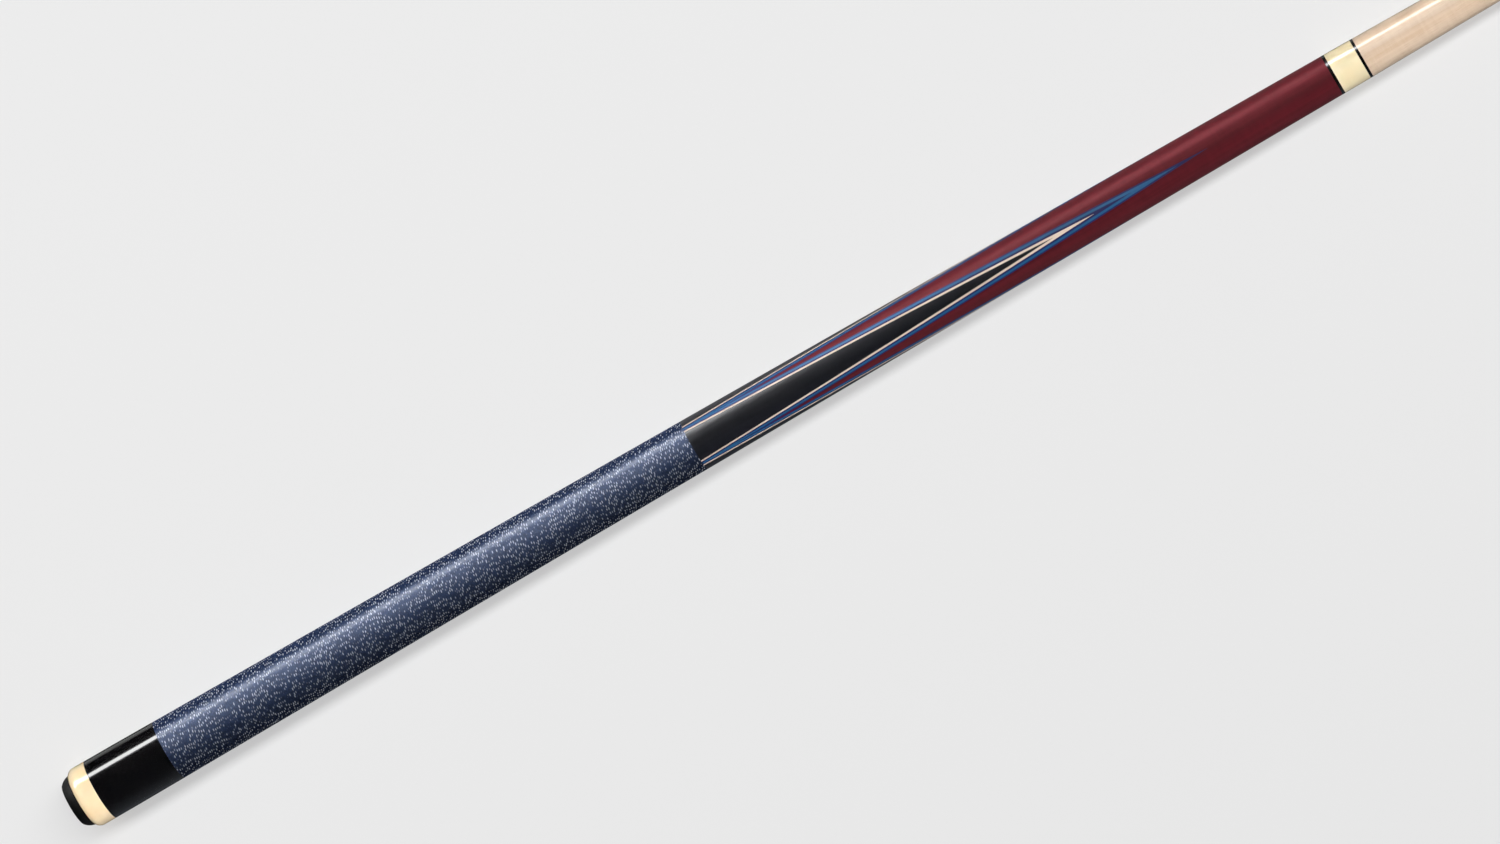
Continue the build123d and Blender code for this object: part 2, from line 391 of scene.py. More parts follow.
class Graph:
    """The node tree of one material, written as calls that return output sockets."""

    def __init__(self, name, **settings):
        self.material = bpy.data.materials.new(name)
        self.material.use_nodes = True
        self.tree = self.material.node_tree
        self.surface = self.tree.nodes["Principled BSDF"]
        self.place = self.node("TexCoord", output="Object")
        for key, value in settings.items():
            self.set(key.replace("_", " "), value)

    def node(self, kind, inputs=None, output=0, **settings):
        """A new node's output. inputs are values or sockets, by the input's name or number."""
        made = self.tree.nodes.new("ShaderNode" + kind)
        for key, value in settings.items():
            setattr(made, key, value)
        for key, value in (inputs or {}).items():
            self.feed(made.inputs[key], value)
        return made.outputs[output]

    def feed(self, socket, value):
        """Links a socket to an input, or sets the input's own value."""
        if isinstance(value, bpy.types.NodeSocket):
            self.tree.links.new(value, socket)
        else:
            socket.default_value = value

    def set(self, name, value):
        """Sets or links an input of the surface shader."""
        names = {socket.name.lower(): socket for socket in self.surface.inputs}
        self.feed(names[name.lower()], value)

    def math(self, operation, first, second=0.0):
        """The result of one sum on values or sockets."""
        return self.node("Math", {0: first, 1: second}, operation=operation)

    def weighed(self, *terms):
        """The sum of (socket, weight) terms."""
        total, *others = [self.math("MULTIPLY", socket, weight) for socket, weight in terms]
        for other in others:
            total = self.math("ADD", total, other)
        return total

    def scaled(self, factor, offset):
        """The place on the object, times a factor for each axis, plus an offset."""
        inputs = {0: self.place, 1: factor, 2: (offset,) * 3}
        return self.node("VectorMath", inputs, operation="MULTIPLY_ADD")

    def noise(self, factor, detail=3.0, roughness=0.5, offset=0.0):
        """Fractal noise, from 0 to 1, with this many waves per metre along each axis."""
        inputs = {
            "Vector": self.scaled(factor, offset),
            "Scale": 1.0,
            "Detail": detail,
            "Roughness": roughness,
        }
        return self.node("TexNoise", inputs)

    def ramp(self, value, low, high, to_low=0.0, to_high=1.0, kind="SMOOTHSTEP"):
        """The value, mapped from low..high to to_low..to_high and held at both ends."""
        inputs = {0: value, 1: low, 2: high, 3: to_low, 4: to_high}
        return self.node("MapRange", inputs, interpolation_type=kind)

    def mix(self, factor, first, second):
        """A mix of two colours."""
        return self.node("Mix", {0: factor, 6: first, 7: second}, output=2, data_type="RGBA")

    def bump(self, height, depth):
        """Adds relief of this depth, in metres, under the coat."""
        self.set("Normal", self.node("Bump", {"Height": height, "Distance": depth}))


GRAIN_MIDDLE = 0.56
GRAIN_SPREAD = 0.22


def wood(name, light, dark, contrast=1.0, pores=0.0, pore_colour=(0.0, 0.0, 0.0, 1.0), **settings):
    """Straight-grained wood along the cue: growth streaks, short pores and a faint figure."""
    graph = Graph(name, **settings)
    streaks = graph.noise((5, 420, 420), detail=4, roughness=0.6)
    broad = graph.noise((2.2, 90, 90), detail=2)
    figure = graph.noise((420, 60, 60), detail=3, offset=7)
    tone = graph.weighed((streaks, 0.6), (broad, 0.3), (figure, 0.22))
    spread = GRAIN_SPREAD / contrast
    grain = graph.ramp(tone, GRAIN_MIDDLE - spread, GRAIN_MIDDLE + spread)
    colour = graph.mix(grain, dark, light)
    fine = graph.noise((130, 2600, 2600), detail=2, offset=3)
    pits = graph.ramp(fine, 0.60, 0.72)
    if pores:
        colour = graph.mix(graph.math("MULTIPLY", pits, pores), colour, pore_colour)
    graph.set("Base Color", colour)
    graph.bump(graph.math("SUBTRACT", streaks, graph.math("MULTIPLY", pits, 0.6)), depth=0.02 * MM)
    return graph.material


def make_maple():
    return wood(
        "maple",
        srgb(223, 201, 177),
        srgb(200, 171, 142),
        pores=0.35,
        pore_colour=srgb(176, 138, 102),
        roughness=0.4,
        coat_weight=0.8,
        coat_roughness=0.13,
    )


def make_stained_maple():
    return wood(
        "stained_maple",
        srgb(88, 25, 33),
        srgb(68, 18, 25),
        pores=0.3,
        pore_colour=srgb(40, 8, 13),
        roughness=0.5,
        specular_ior_level=0.5,
        specular_tint=srgb(255, 150, 155),
    )


def make_handle_wood():
    return wood(
        "handle_wood",
        srgb(214, 182, 142),
        srgb(176, 140, 100),
        pores=0.4,
        pore_colour=srgb(140, 104, 70),
        roughness=0.7,
    )


def make_veneer(name, light, dark):
    return wood(
        name,
        light,
        dark,
        contrast=0.8,
        pores=0.15,
        pore_colour=dark,
        roughness=0.5,
        specular_ior_level=0.5,
    )


def make_ebony():
    return wood(
        "ebony",
        srgb(26, 27, 35),
        srgb(16, 17, 23),
        pores=0.4,
        pore_colour=srgb(8, 8, 10),
        roughness=0.42,
        coat_weight=0.4,
        coat_roughness=0.32,
    )


def resin(name, light, dark, **settings):
    """Cast resin: slow clouds of tone, and faint polishing lines round the cue."""
    graph = Graph(name, **settings)
    clouds = graph.noise((60, 60, 60), detail=3)
    graph.set("Base Color", graph.mix(graph.ramp(clouds, 0.35, 0.65), dark, light))
    lines = graph.noise((9000, 40, 40), detail=1, offset=2)
    graph.bump(lines, depth=0.001 * MM)
    return graph.material


def make_ivory_resin(light, dark):
    return resin(
        "ivory_resin",
        light,
        dark,
        roughness=0.25,
        subsurface_weight=0.15,
        subsurface_radius=(0.002, 0.0013, 0.0008),
        coat_weight=0.8,
        coat_roughness=0.08,
    )


def make_black_lacquer():
    return resin(
        "black_lacquer",
        srgb(14, 14, 15),
        srgb(11, 11, 13),
        roughness=0.2,
        specular_ior_level=0.2,
        coat_weight=1.0,
        coat_roughness=0.075,
    )


def make_black_resin():
    return resin(
        "black_resin",
        srgb(16, 15, 15),
        srgb(11, 11, 12),
        roughness=0.25,
        specular_ior_level=0.3,
        coat_weight=0.8,
        coat_roughness=0.1,
    )


def make_white_resin():
    return resin(
        "white_resin",
        srgb(226, 224, 214),
        srgb(218, 214, 203),
        roughness=0.3,
        subsurface_weight=0.1,
        subsurface_radius=(0.001, 0.001, 0.0008),
        coat_weight=0.4,
        coat_roughness=0.2,
    )


def make_rubber():
    """Moulded black rubber: fine grain and a slight bloom."""
    graph = Graph("bumper_rubber", roughness=0.62, specular_ior_level=0.28)
    bloom = graph.noise((120, 120, 120), detail=4)
    colour = graph.mix(graph.ramp(bloom, 0.4, 0.75), srgb(11, 11, 11), srgb(20, 20, 21))
    graph.set("Base Color", colour)
    graph.set("Roughness", graph.ramp(bloom, 0.3, 0.7, 0.55, 0.72))
    graph.bump(graph.noise((2400, 2400, 2400), detail=2), depth=0.02 * MM)
    return graph.material


def metal(name, colour, roughness, **settings):
    """Turned metal: fine tool lines round the axis and a little wear in the gloss."""
    graph = Graph(name, metallic=1.0, **settings)
    wear = graph.noise((300, 300, 300), detail=3)
    lines = graph.noise((14000, 60, 60), detail=2)
    shade = tuple(channel * 0.8 for channel in colour[:3]) + (1.0,)
    graph.set("Base Color", graph.mix(graph.ramp(wear, 0.35, 0.7), colour, shade))
    graph.set("Roughness", graph.ramp(wear, 0.3, 0.7, roughness * 0.8, roughness * 1.25))
    graph.bump(lines, depth=0.003 * MM)
    return graph.material


def make_fibre():
    """Vulcanised fibre: speckled layers across the cue."""
    graph = Graph("fibre", roughness=0.6)
    layers = graph.noise((9000, 200, 200), detail=2)
    colour = graph.mix(graph.ramp(layers, 0.35, 0.65), srgb(120, 34, 26), srgb(158, 52, 38))
    graph.set("Base Color", colour)
    graph.bump(layers, depth=0.03 * MM)
    return graph.material


def make_tip_leather():
    """Pressed leather in glued layers."""
    graph = Graph("tip_leather", roughness=0.7)
    layers = graph.node(
        "TexWave",
        {"Vector": graph.place, "Scale": 300.0, "Distortion": 0.6, "Detail": 2.0},
        output="Fac",
        bands_direction="X",
    )
    fibres = graph.noise((900, 2600, 2600), detail=4)
    base = graph.mix(fibres, srgb(120, 84, 56), srgb(164, 120, 82))
    graph.set("Base Color", graph.mix(graph.ramp(layers, 0.0, 0.22), srgb(70, 46, 30), base))
    graph.bump(graph.math("ADD", fibres, layers), depth=0.05 * MM)
    return graph.material


def linen_place(graph):
    """Where a place lies on the linen thread.

    As sockets: how many turns along the thread it is, how far across the thread's width
    (-0.5 to 0.5), and its distance from the cue's axis.
    """
    parts = graph.tree.nodes.new("ShaderNodeSeparateXYZ")
    graph.feed(parts.inputs[0], graph.place)
    x, y, z = parts.outputs
    turn = graph.math("DIVIDE", graph.math("ARCTAN2", z, y), TURN)
    turn = graph.math("FRACT", graph.math("ADD", turn, 1.0))
    phase = graph.math("SUBTRACT", graph.math("MULTIPLY", x, 1 / LINEN_PITCH), turn)
    wound = graph.math("FLOOR", phase)
    across = graph.math("SUBTRACT", graph.math("SUBTRACT", phase, wound), 0.5)
    squares = graph.math("ADD", graph.math("MULTIPLY", y, y), graph.math("MULTIPLY", z, z))
    return graph.math("ADD", wound, turn), across, graph.math("SQRT", squares)


def linen_flecks(graph, turns, across, radius):
    """Where the pale flecks of the linen lie, from 0 to 1.

    Flecks come at nearly even steps along the thread, so they line up in wandering rows.
    """
    drift = graph.math("SUBTRACT", graph.noise((75, 12, 12), detail=1.5), 0.5)
    along = graph.math("MULTIPLY", turns, FLECKS_PER_TURN)
    along = graph.math("ADD", along, graph.math("MULTIPLY", drift, FLECK_DRIFT))
    step = graph.math("FLOOR", along)
    chance = graph.node("TexWhiteNoise", {"W": step}, noise_dimensions="1D")
    other_chance = graph.math("FRACT", graph.math("MULTIPLY", chance, OTHER_DRAW))
    middle = graph.ramp(other_chance, 0.0, 1.0, *FLECK_PLACES, kind="LINEAR")
    away = graph.math("SUBTRACT", graph.math("SUBTRACT", along, step), middle)
    away = graph.math("MULTIPLY", away, graph.math("MULTIPLY", radius, TURN / FLECKS_PER_TURN))
    offset = graph.math("MULTIPLY", across, LINEN_PITCH)
    offset = graph.math("ADD", offset, graph.math("MULTIPLY", away, FLECK_SLANT))
    half_length = graph.ramp(chance, 0.0, 1.0, *FLECK_HALF_LENGTHS, kind="LINEAR")
    wide = graph.math("POWER", graph.math("DIVIDE", graph.math("ABSOLUTE", offset), FLECK_HALF_WIDTH), 2)
    long = graph.math("POWER", graph.math("DIVIDE", graph.math("ABSOLUTE", away), half_length), 2)
    fleck = graph.ramp(graph.math("ADD", wide, long), *FLECK_EDGE)
    strength = graph.ramp(chance, *FLECK_STRENGTH)
    return graph.math("MULTIPLY", fleck, strength)


def make_linen():
    """Pressed linen thread: navy with pale flecks, and a silky gloss over the turns."""
    graph = Graph("linen", roughness=0.65, specular_tint=srgb(188, 212, 252), coat_roughness=0.33)
    facing = graph.node("LayerWeight", {"Blend": 0.5}, output="Facing")
    graph.set("Specular IOR Level", graph.ramp(facing, *GLOSS_FADE, 1.0, 0.05))
    graph.set("Coat Weight", graph.ramp(facing, *GLOSS_FADE, 0.8, 0.0))
    turns, across, radius = linen_place(graph)
    fleck = linen_flecks(graph, turns, across, radius)
    fibres = graph.noise((1500, 5200, 5200), detail=3)
    slubs = graph.noise((1900, 750, 750), detail=2, offset=5)
    tone = graph.weighed((fibres, 0.4), (slubs, 0.6))
    navy = graph.mix(graph.ramp(tone, 0.36, 0.64), srgb(14, 25, 48), srgb(50, 66, 102))
    pale = graph.mix(graph.ramp(fibres, 0.3, 0.7), srgb(196, 206, 226), srgb(234, 238, 248))
    graph.set("Base Color", graph.mix(fleck, navy, pale))
    crown = graph.math("SUBTRACT", 1.0, graph.math("MULTIPLY", graph.math("MULTIPLY", across, across), 4))
    graph.bump(graph.math("ADD", crown, graph.math("MULTIPLY", fibres, 0.7)), depth=0.03 * MM)
    return graph.material


MATERIALS = {
    "bumper_rubber": make_rubber(),
    "steel": metal("steel", srgb(196, 196, 198), 0.28),
    "black_steel": metal("black_steel", srgb(52, 52, 55), 0.4),
    "ivory_resin": make_ivory_resin(srgb(240, 226, 192), srgb(232, 216, 176)),
    "black_lacquer": make_black_lacquer(),
    "handle_wood": make_handle_wood(),
    "linen": make_linen(),
    "stained_maple": make_stained_maple(),
    "black_resin": make_black_resin(),
    "brass": metal("brass", srgb(226, 190, 112), 0.22),
    "maple": make_maple(),
    "white_resin": make_white_resin(),
    "fibre": make_fibre(),
    "tip_leather": make_tip_leather(),
    "navy_veneer": make_veneer("navy_veneer", srgb(22, 22, 86), srgb(12, 14, 70)),
    "blue_veneer": make_veneer("blue_veneer", srgb(8, 88, 136), srgb(3, 72, 116)),
    "cream_veneer": make_veneer("cream_veneer", srgb(214, 196, 182), srgb(196, 176, 160)),
    "ebony": make_ebony(),
}
OWN_MATERIALS = {"butt_cap": make_ivory_resin(srgb(250, 226, 186), srgb(245, 214, 168))}

# ---- Pieces ----

BODY_OF = {
    node: body
    for body, nodes in frame["record"]["behaviour"]["bodies"].items()
    for node in nodes
}
SLOT_OF = {part["node"]: part["material_slot"] for part in frame["record"]["subparts"]}


def piece(node, mesh):
    """A detailed piece in place of a CAD node, on its body and in its material."""
    mesh.materials.append(OWN_MATERIALS.get(node, MATERIALS[SLOT_OF[node]]))
    made = bpy.data.objects.new(node + "_detail", mesh)
    bpy.context.scene.collection.objects.link(made)
    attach(made, BODY_OF[node])
    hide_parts(node)
    return made


def turned_piece(node, outline):
    """A piece turned from a closed outline, whose large faces keep their own shading at its edges."""
    made = piece(node, solid(node, turned(outline)))
    made.modifiers.new("normals", "WEIGHTED_NORMAL").keep_sharp = True


def make_bumper():
    """Rounded rubber end with its stem and the counterbore for the screw."""
    side = bow((CAP_START, BUMPER_RADIUS), BUMPER_RIM, -BUMPER_SIDE_BULGE)
    rim = bow(BUMPER_RIM, (0, BUMPER_FACE), -BUMPER_FACE_BULGE, steps=6)
    inside = [
        (0, COUNTERBORE),
        (WASHER_END, COUNTERBORE),
        (WASHER_END, WASHER_HOLE),
        (STEM_END, WASHER_HOLE),
        (STEM_END, STEM_RADIUS),
        (CAP_START, STEM_RADIUS),
    ]
    turned_piece("bumper", eased(side + rim[1:] + inside, BUMPER_EASE))


def make_bumper_washer():
    ring = [
        (WASHER_START, WASHER_HOLE),
        (WASHER_START, WASHER_RADIUS),
        (WASHER_END, WASHER_RADIUS),
        (WASHER_END, WASHER_HOLE),
    ]
    turned_piece("bumper_washer", eased(ring, WASHER_EASE))


def make_butt_cap():
    """Cap ring with its rounded rim, the bumper's recess and the handle's socket."""
    inner = BUTT_RADIUS - CAP_RIM_RADIUS
    first = math.asin((BUMPER_RADIUS - inner) / CAP_RIM_RADIUS)
    centre = CAP_START + CAP_RIM_RADIUS * math.cos(first), inner
    rim = arc(centre, CAP_RIM_RADIUS, 180 - math.degrees(first), 90)
    inside = [
        (SLEEVE_START, BUTT_RADIUS),
        (SLEEVE_START, HANDLE_TENON),
        (HANDLE_START, HANDLE_TENON),
        (HANDLE_START, STEM_BORE),
        (CAP_START, STEM_BORE),
    ]
    turned_piece("butt_cap", eased(rim + inside))


def make_butt_sleeve():
    outline = [
        (SLEEVE_START, HANDLE_TENON),
        (WRAP_START, HANDLE_TENON),
        (WRAP_START, cone_radius(WRAP_START)),
        (CONE_START, BUTT_RADIUS),
        (SLEEVE_START, BUTT_RADIUS),
    ]
    turned_piece("butt_sleeve", eased(outline))


def make_handle_core():
    """Wooden core, bored for the weight at the back and for the stud at the front."""
    outline = [
        (HANDLE_START, WEIGHT_RADIUS),
        (HANDLE_START, HANDLE_TENON),
        (WRAP_START, HANDLE_TENON),
        (WRAP_START, cone_radius(WRAP_START) - WRAP_THICKNESS),
        (FOREARM_START, cone_radius(FOREARM_START) - WRAP_THICKNESS),
        (FOREARM_START, STUD_RADIUS),
        (STUD_START, STUD_RADIUS),
        (STUD_START, 0),
        (WEIGHT_END, 0),
        (WEIGHT_END, WEIGHT_RADIUS),
    ]
    turned_piece("handle_core", eased(outline))


def make_wrap():
    """Linen thread wound side by side, each turn a low ridge."""

    def radius_at(x, phase):
        valley = np.clip(1 - LINEN_ROWS * np.minimum(phase, 1 - phase), 0, 1)
        return cone_radius(x) - LINEN_RELIEF * valley * fade(x, WRAP_START, FOREARM_START, LINEN_FADE)

    first, last = cone_radius(WRAP_START), cone_radius(FOREARM_START)
    inside = [
        (WRAP_START, first),
        (WRAP_START, first - WRAP_THICKNESS),
        (FOREARM_START, last - WRAP_THICKNESS),
        (FOREARM_START, last),
    ]
    outside = helical(
        WRAP_START, FOREARM_START, LINEN_PITCH, LINEN_ROWS, LINEN_COLUMNS, radius_at
    )
    lining = turned(inside, LINEN_COLUMNS, closed=False)
    piece("wrap", solid("wrap", outside, lining, sharp=LINEN_SHARP))


# ---- Threads ----


def fade(x, start, end, run):
    """0 at both ends of a stretch, rising to 1 over a run from each."""
    return np.clip(np.minimum(x - start, end - x) / run, 0, 1)


def thread(start, end, pitch, depth, crest, nose=0.0):
    """A threaded surface, whose groove runs out half a pitch from either end.

    The crest narrows by the nose, over a stretch as long as the nose, at the far end.
    """

    def radius_at(x, phase):
        below = np.clip(np.abs(phase - 0.5) * FLANK_SLOPE - CREST_FLAT, 0, 1) * depth
        narrowing = np.maximum(x - (end - nose), 0)
        return crest - narrowing - below * fade(x, start, end, pitch / 2)

    return helical(start, end, pitch, THREAD_ROWS, THREAD_COLUMNS, radius_at)


def ends_of(*outlines):
    """The plain stretches of a threaded piece, each turned from an open outline."""
    return [turned(outline, THREAD_COLUMNS, closed=False) for outline in outlines]


def make_weight_bolt():
    """Threaded steel weight, tapped at its tail for the bumper's screw."""
    tap_end = WEIGHT_START + TAP_DEPTH
    tap_radius = SCREW_RADIUS + SCREW_GAP
    plain = ends_of(
        [(WEIGHT_START, tap_radius), (WEIGHT_START, WEIGHT_RADIUS)],
        [(WEIGHT_END, WEIGHT_RADIUS - WEIGHT_NOSE), (WEIGHT_END, 0)],
        [(tap_end, 0), (tap_end, tap_radius)],
    )
    outside = thread(
        WEIGHT_START, WEIGHT_END, WEIGHT_PITCH, WEIGHT_DEPTH, WEIGHT_RADIUS, nose=WEIGHT_NOSE
    )
    tap = thread(WEIGHT_START, tap_end, SCREW_PITCH, SCREW_DEPTH, tap_radius)
    piece("weight_bolt", solid("weight_bolt", outside, tap, *plain))


def make_joint_stud():
    """Threaded stud between the handle and the forearm."""
    plain = ends_of(
        [(STUD_START, 0), (STUD_START, STUD_RADIUS)],
        [(STUD_END, STUD_RADIUS - STUD_NOSE), (STUD_END, 0)],
    )
    outside = thread(STUD_START, STUD_END, STUD_PITCH, STUD_DEPTH, STUD_RADIUS, nose=STUD_NOSE)
    piece("a_joint_stud", solid("a_joint_stud", outside, *plain))


def make_joint_pin():
    """Steel pin, threaded along the part that stands out of the collar."""
    plain = ends_of(
        [(PIN_START, 0), (PIN_START, PIN_RADIUS), (JOINT_FACE, PIN_RADIUS)],
        [(PIN_END, PIN_RADIUS - PIN_NOSE), (PIN_END, 0)],
    )
    outside = thread(JOINT_FACE, PIN_END, JOINT_PITCH, JOINT_DEPTH, PIN_RADIUS, nose=PIN_NOSE)
    piece("joint_pin", solid("joint_pin", outside, *plain))


def make_shaft_insert():
    """Brass bush whose thread takes the joint pin."""
    bore = PIN_RADIUS + JOINT_GAP
    outside = ends_of(
        [(JOINT_FACE, bore), (JOINT_FACE, INSERT_RADIUS)],
        [(JOINT_FACE, INSERT_RADIUS), (INSERT_END, INSERT_RADIUS)],
        [(INSERT_END, INSERT_RADIUS), (INSERT_END, bore)],
    )
    inside = thread(JOINT_FACE, INSERT_END, JOINT_PITCH, JOINT_DEPTH, bore)
    piece("shaft_insert", solid("shaft_insert", inside, *outside))


def cross_plug():
    """A tapered plug in the shape of the screw's cross recess, standing a little out of the head."""
    outer, inner = HEAD_START - DRIVE_PROUD, HEAD_START + DRIVE_DEPTH
    long, short = DRIVE_SPAN / 2, DRIVE_WIDTH / 2
    corner = [(long, -short), (long, short), (short, short)]
    outline = []
    for _ in range(4):
        outline += corner
        corner = [(-b, a) for a, b in corner]
    count = len(outline)
    points = [(outer, a, b) for a, b in outline]
    points += [(inner, a * DRIVE_TAPER, b * DRIVE_TAPER) for a, b in outline]
    faces = [list(range(count)), list(range(count, 2 * count))]
    for index in range(count):
        beside = (index + 1) % count
        faces.append([index, beside, count + beside, count + index])
    return solid("cross_plug", (points, faces))


def cut(mesh, cutter):
    """The mesh with the cutter's space taken out of it."""
    scene = bpy.context.scene.collection
    target = bpy.data.objects.new("cut_target", mesh)
    tool = bpy.data.objects.new("cut_tool", cutter)
    scene.objects.link(target)
    scene.objects.link(tool)
    modifier = target.modifiers.new("cut", "BOOLEAN")
    modifier.operation = "DIFFERENCE"
    modifier.solver = "EXACT"
    modifier.object = tool
    result = bpy.data.meshes.new_from_object(
        target.evaluated_get(bpy.context.evaluated_depsgraph_get())
    )
    bpy.data.objects.remove(target)
    bpy.data.objects.remove(tool)
    return result


def make_bumper_screw():
    """Pan-head screw with a cross recess."""
    head = [
        (HEAD_START, 0),
        *bow((HEAD_START, HEAD_FLAT), (WASHER_START, HEAD_RADIUS), HEAD_BULGE),
        (WASHER_START, SCREW_RADIUS),
    ]
    plain = ends_of(head, [(SCREW_END, SCREW_RADIUS - SCREW_NOSE), (SCREW_END, 0)])
    outside = thread(
        WASHER_START, SCREW_END, SCREW_PITCH, SCREW_DEPTH, SCREW_RADIUS, nose=SCREW_NOSE
    )
    whole = solid("bumper_screw", outside, *plain)
    mesh = cut(whole, cross_plug())
    mesh.set_sharp_from_angle(angle=SHARP)
    piece("bumper_screw", mesh)


# ---- The forearm and its inlaid points ----


def wall_angle(bottom, radius):
    """Angle from a point's middle at which its groove's wall crosses a radius."""
    share = min(max(bottom / radius, 0), 1)
    return math.acos(share / math.sqrt(2)) - TURN / 8


def half_section(station, low_step, high_step):
    """(radius, angle) points round half a layer, from its outer corner and back.

    A layer lies between two grooves, and its half reaches from the point's middle to one side.
    """
    x, outside, bore = station
    rise = POINT_RISE * (x - POINT_MEET)
    low, high = rise + low_step, rise + high_step

    def foot(bottom, least):
        """Where the wall of a groove with this bottom ends at its lower side."""
        radius = min(max(bottom, least), outside)
        return radius, wall_angle(bottom, radius) if radius > 0 else TURN / 8

    skin_angles = np.linspace(wall_angle(low, outside), wall_angle(high, outside), SKIN_COLUMNS)
    skin = [(outside, angle) for angle in skin_angles]
    high_wall = [foot(high, STUD_RADIUS), foot(high, bore)]
    bore_radius, bore_angle = foot(low, bore)
    bore_angles = np.linspace(high_wall[-1][1], bore_angle, SKIN_COLUMNS)
    bore_side = [(bore_radius, angle) for angle in bore_angles]
    return skin + high_wall + bore_side + [foot(low, STUD_RADIUS)]


def half_layer_points(stations, rings, point_index, side):
    """The points of half a layer, ring by ring, turned to one side of an inlaid point."""
    points = []
    for (x, _, _), ring in zip(stations, rings):
        for radius, angle in ring:
            turn = TURN / 4 + side * angle + point_index * TURN / POINT_COUNT
            points.append((x, radius * math.cos(turn), radius * math.sin(turn)))
    return points


def half_layer_faces(stations, count, has_low_wall):
    """The faces of half a layer, whose rings have this many points.

    It is open along the point's middle, apart from where the bore's radius changes.
    """
    middle_edge = SKIN_COLUMNS + 1
    low_wall_edges = (count - 2, count - 1)
    faces = []
    for row in range(len(stations) - 1):
        is_step = stations[row][0] == stations[row + 1][0]
        for edge in range(count):
            if edge == middle_edge and not is_step:
                continue
            if edge in low_wall_edges and not has_low_wall:
                continue
            here = row * count + edge
            beside = row * count + (edge + 1) % count
            faces.append((here, beside, beside + count, here + count))
    last = (len(stations) - 1) * count
    faces.append(tuple(range(count)))
    faces.append(tuple(range(last, last + count)))
    return faces


def layer(stations, low_step, high_step, point_indices, has_low_wall=True):
    """Points and faces of a layer in the given points, through a list of stations."""
    rings = [half_section(station, low_step, high_step) for station in stations]
    half_faces = half_layer_faces(stations, len(rings[0]), has_low_wall)
    points, faces = [], []
    for point_index in point_indices:
        for side in (1, -1):
            faces += [tuple(len(points) + index for index in face) for face in half_faces]
            points += half_layer_points(stations, rings, point_index, side)
    return points, faces


def step_of(index):
    """How far the bottom of a groove, by its place among the veneers, lies above the first's."""
    return sum(list(VENEERS.values())[:index]) * math.sqrt(2)


def surface_station(step):
    """Where a groove's bottom reaches the outside of the cone."""
    height = POINT_RISE * -POINT_MEET + step
    return (RING_RADIUS + CONE_SLOPE * RING_START - height) / (POINT_RISE + CONE_SLOPE)


def axis_station(step):
    """Where a groove's bottom reaches the cue's axis."""
    return POINT_MEET - step / POINT_RISE


def stud_station(step):
    """Where a groove's bottom clears the stud's bore."""
    return POINT_MEET + (STUD_RADIUS - step) / POINT_RISE


def all_stations():
    """Every station of the forearm as (x, outside, bore), shared by all of its pieces.

    Where the bore or the outside changes at once, there are two stations in the same place.
    """
    steps = [step_of(index) for index in range(len(VENEERS) + 1)]
    stops = {FOREARM_START, STUD_END, PIN_START, RING_START, JOINT_FACE}
    stops |= {find(step) for step in steps for find in (surface_station, axis_station, stud_station)}
    count = round((RING_START - FOREARM_START) / STATION_STEP)
    stops |= set(np.linspace(FOREARM_START, RING_START, count + 1).tolist())
    stations = []
    for x in sorted(stop for stop in stops if FOREARM_START <= stop <= JOINT_FACE):
        before = STUD_RADIUS if x <= STUD_END or x > PIN_START else 0
        after = STUD_RADIUS if x < STUD_END or x >= PIN_START else 0
        if x <= RING_START:
            stations.append((x, float(cone_radius(x)), before))
        if before != after:
            stations.append((x, float(cone_radius(x)), after))
        if x >= RING_START:
            stations.append((x, JOINT_TENON, STUD_RADIUS))
    return stations


def light_as_cone(mesh):
    """Gives the outside the cone's own shading, so that seams between woods don't show in it."""
    tilt = math.atan(CONE_SLOPE)
    normals = []
    for polygon in mesh.polygons:
        corners = [mesh.vertices[index].co for index in polygon.vertices]
        outside = all(
            abs(math.hypot(co.y, co.z) - cone_radius(co.x)) < SKIN_TOLERANCE for co in corners
        )
        for co in corners:
            if outside and abs(polygon.normal.x) < 0.5:
                across = Vector((0, co.y, co.z)).normalized() * math.cos(tilt)
                normals.append(across + Vector((math.sin(tilt), 0, 0)))
            else:
                normals.append(polygon.normal.copy())
    mesh.normals_split_custom_set(normals)
    return mesh


def make_forearm_pieces():
    """The forearm, and four points that are each a black core in four veneers."""
    stations = all_stations()
    whole = range(POINT_COUNT)
    forearm = layer(
        [station for station in stations if station[0] >= POINT_MEET],
        -math.inf,
        0,
        whole,
        has_low_wall=False,
    )
    piece("forearm", light_as_cone(solid("forearm", forearm)))
    names = [*VENEERS, "black"]
    for place, name in enumerate(names):
        low = step_of(place)
        high = step_of(place + 1) if place < len(VENEERS) else math.inf
        first, last = axis_station(high), surface_station(low)
        own = [station for station in stations if first <= station[0] <= last]
        for index in whole:
            node = f"point_{index + 1}_{name}"
            piece(node, light_as_cone(solid(node, layer(own, low, high, [index]))))


# ---- The joint's rings, the shaft and its tip ----


def make_ring(node, bore):
    """A ring of the butt's cone."""
    first, last = starts(node), ends(node)
    outline = [
        (first, bore),
        (first, float(cone_radius(first))),
        (last, float(cone_radius(last))),
        (last, bore),
    ]
    turned_piece(node, eased(outline))


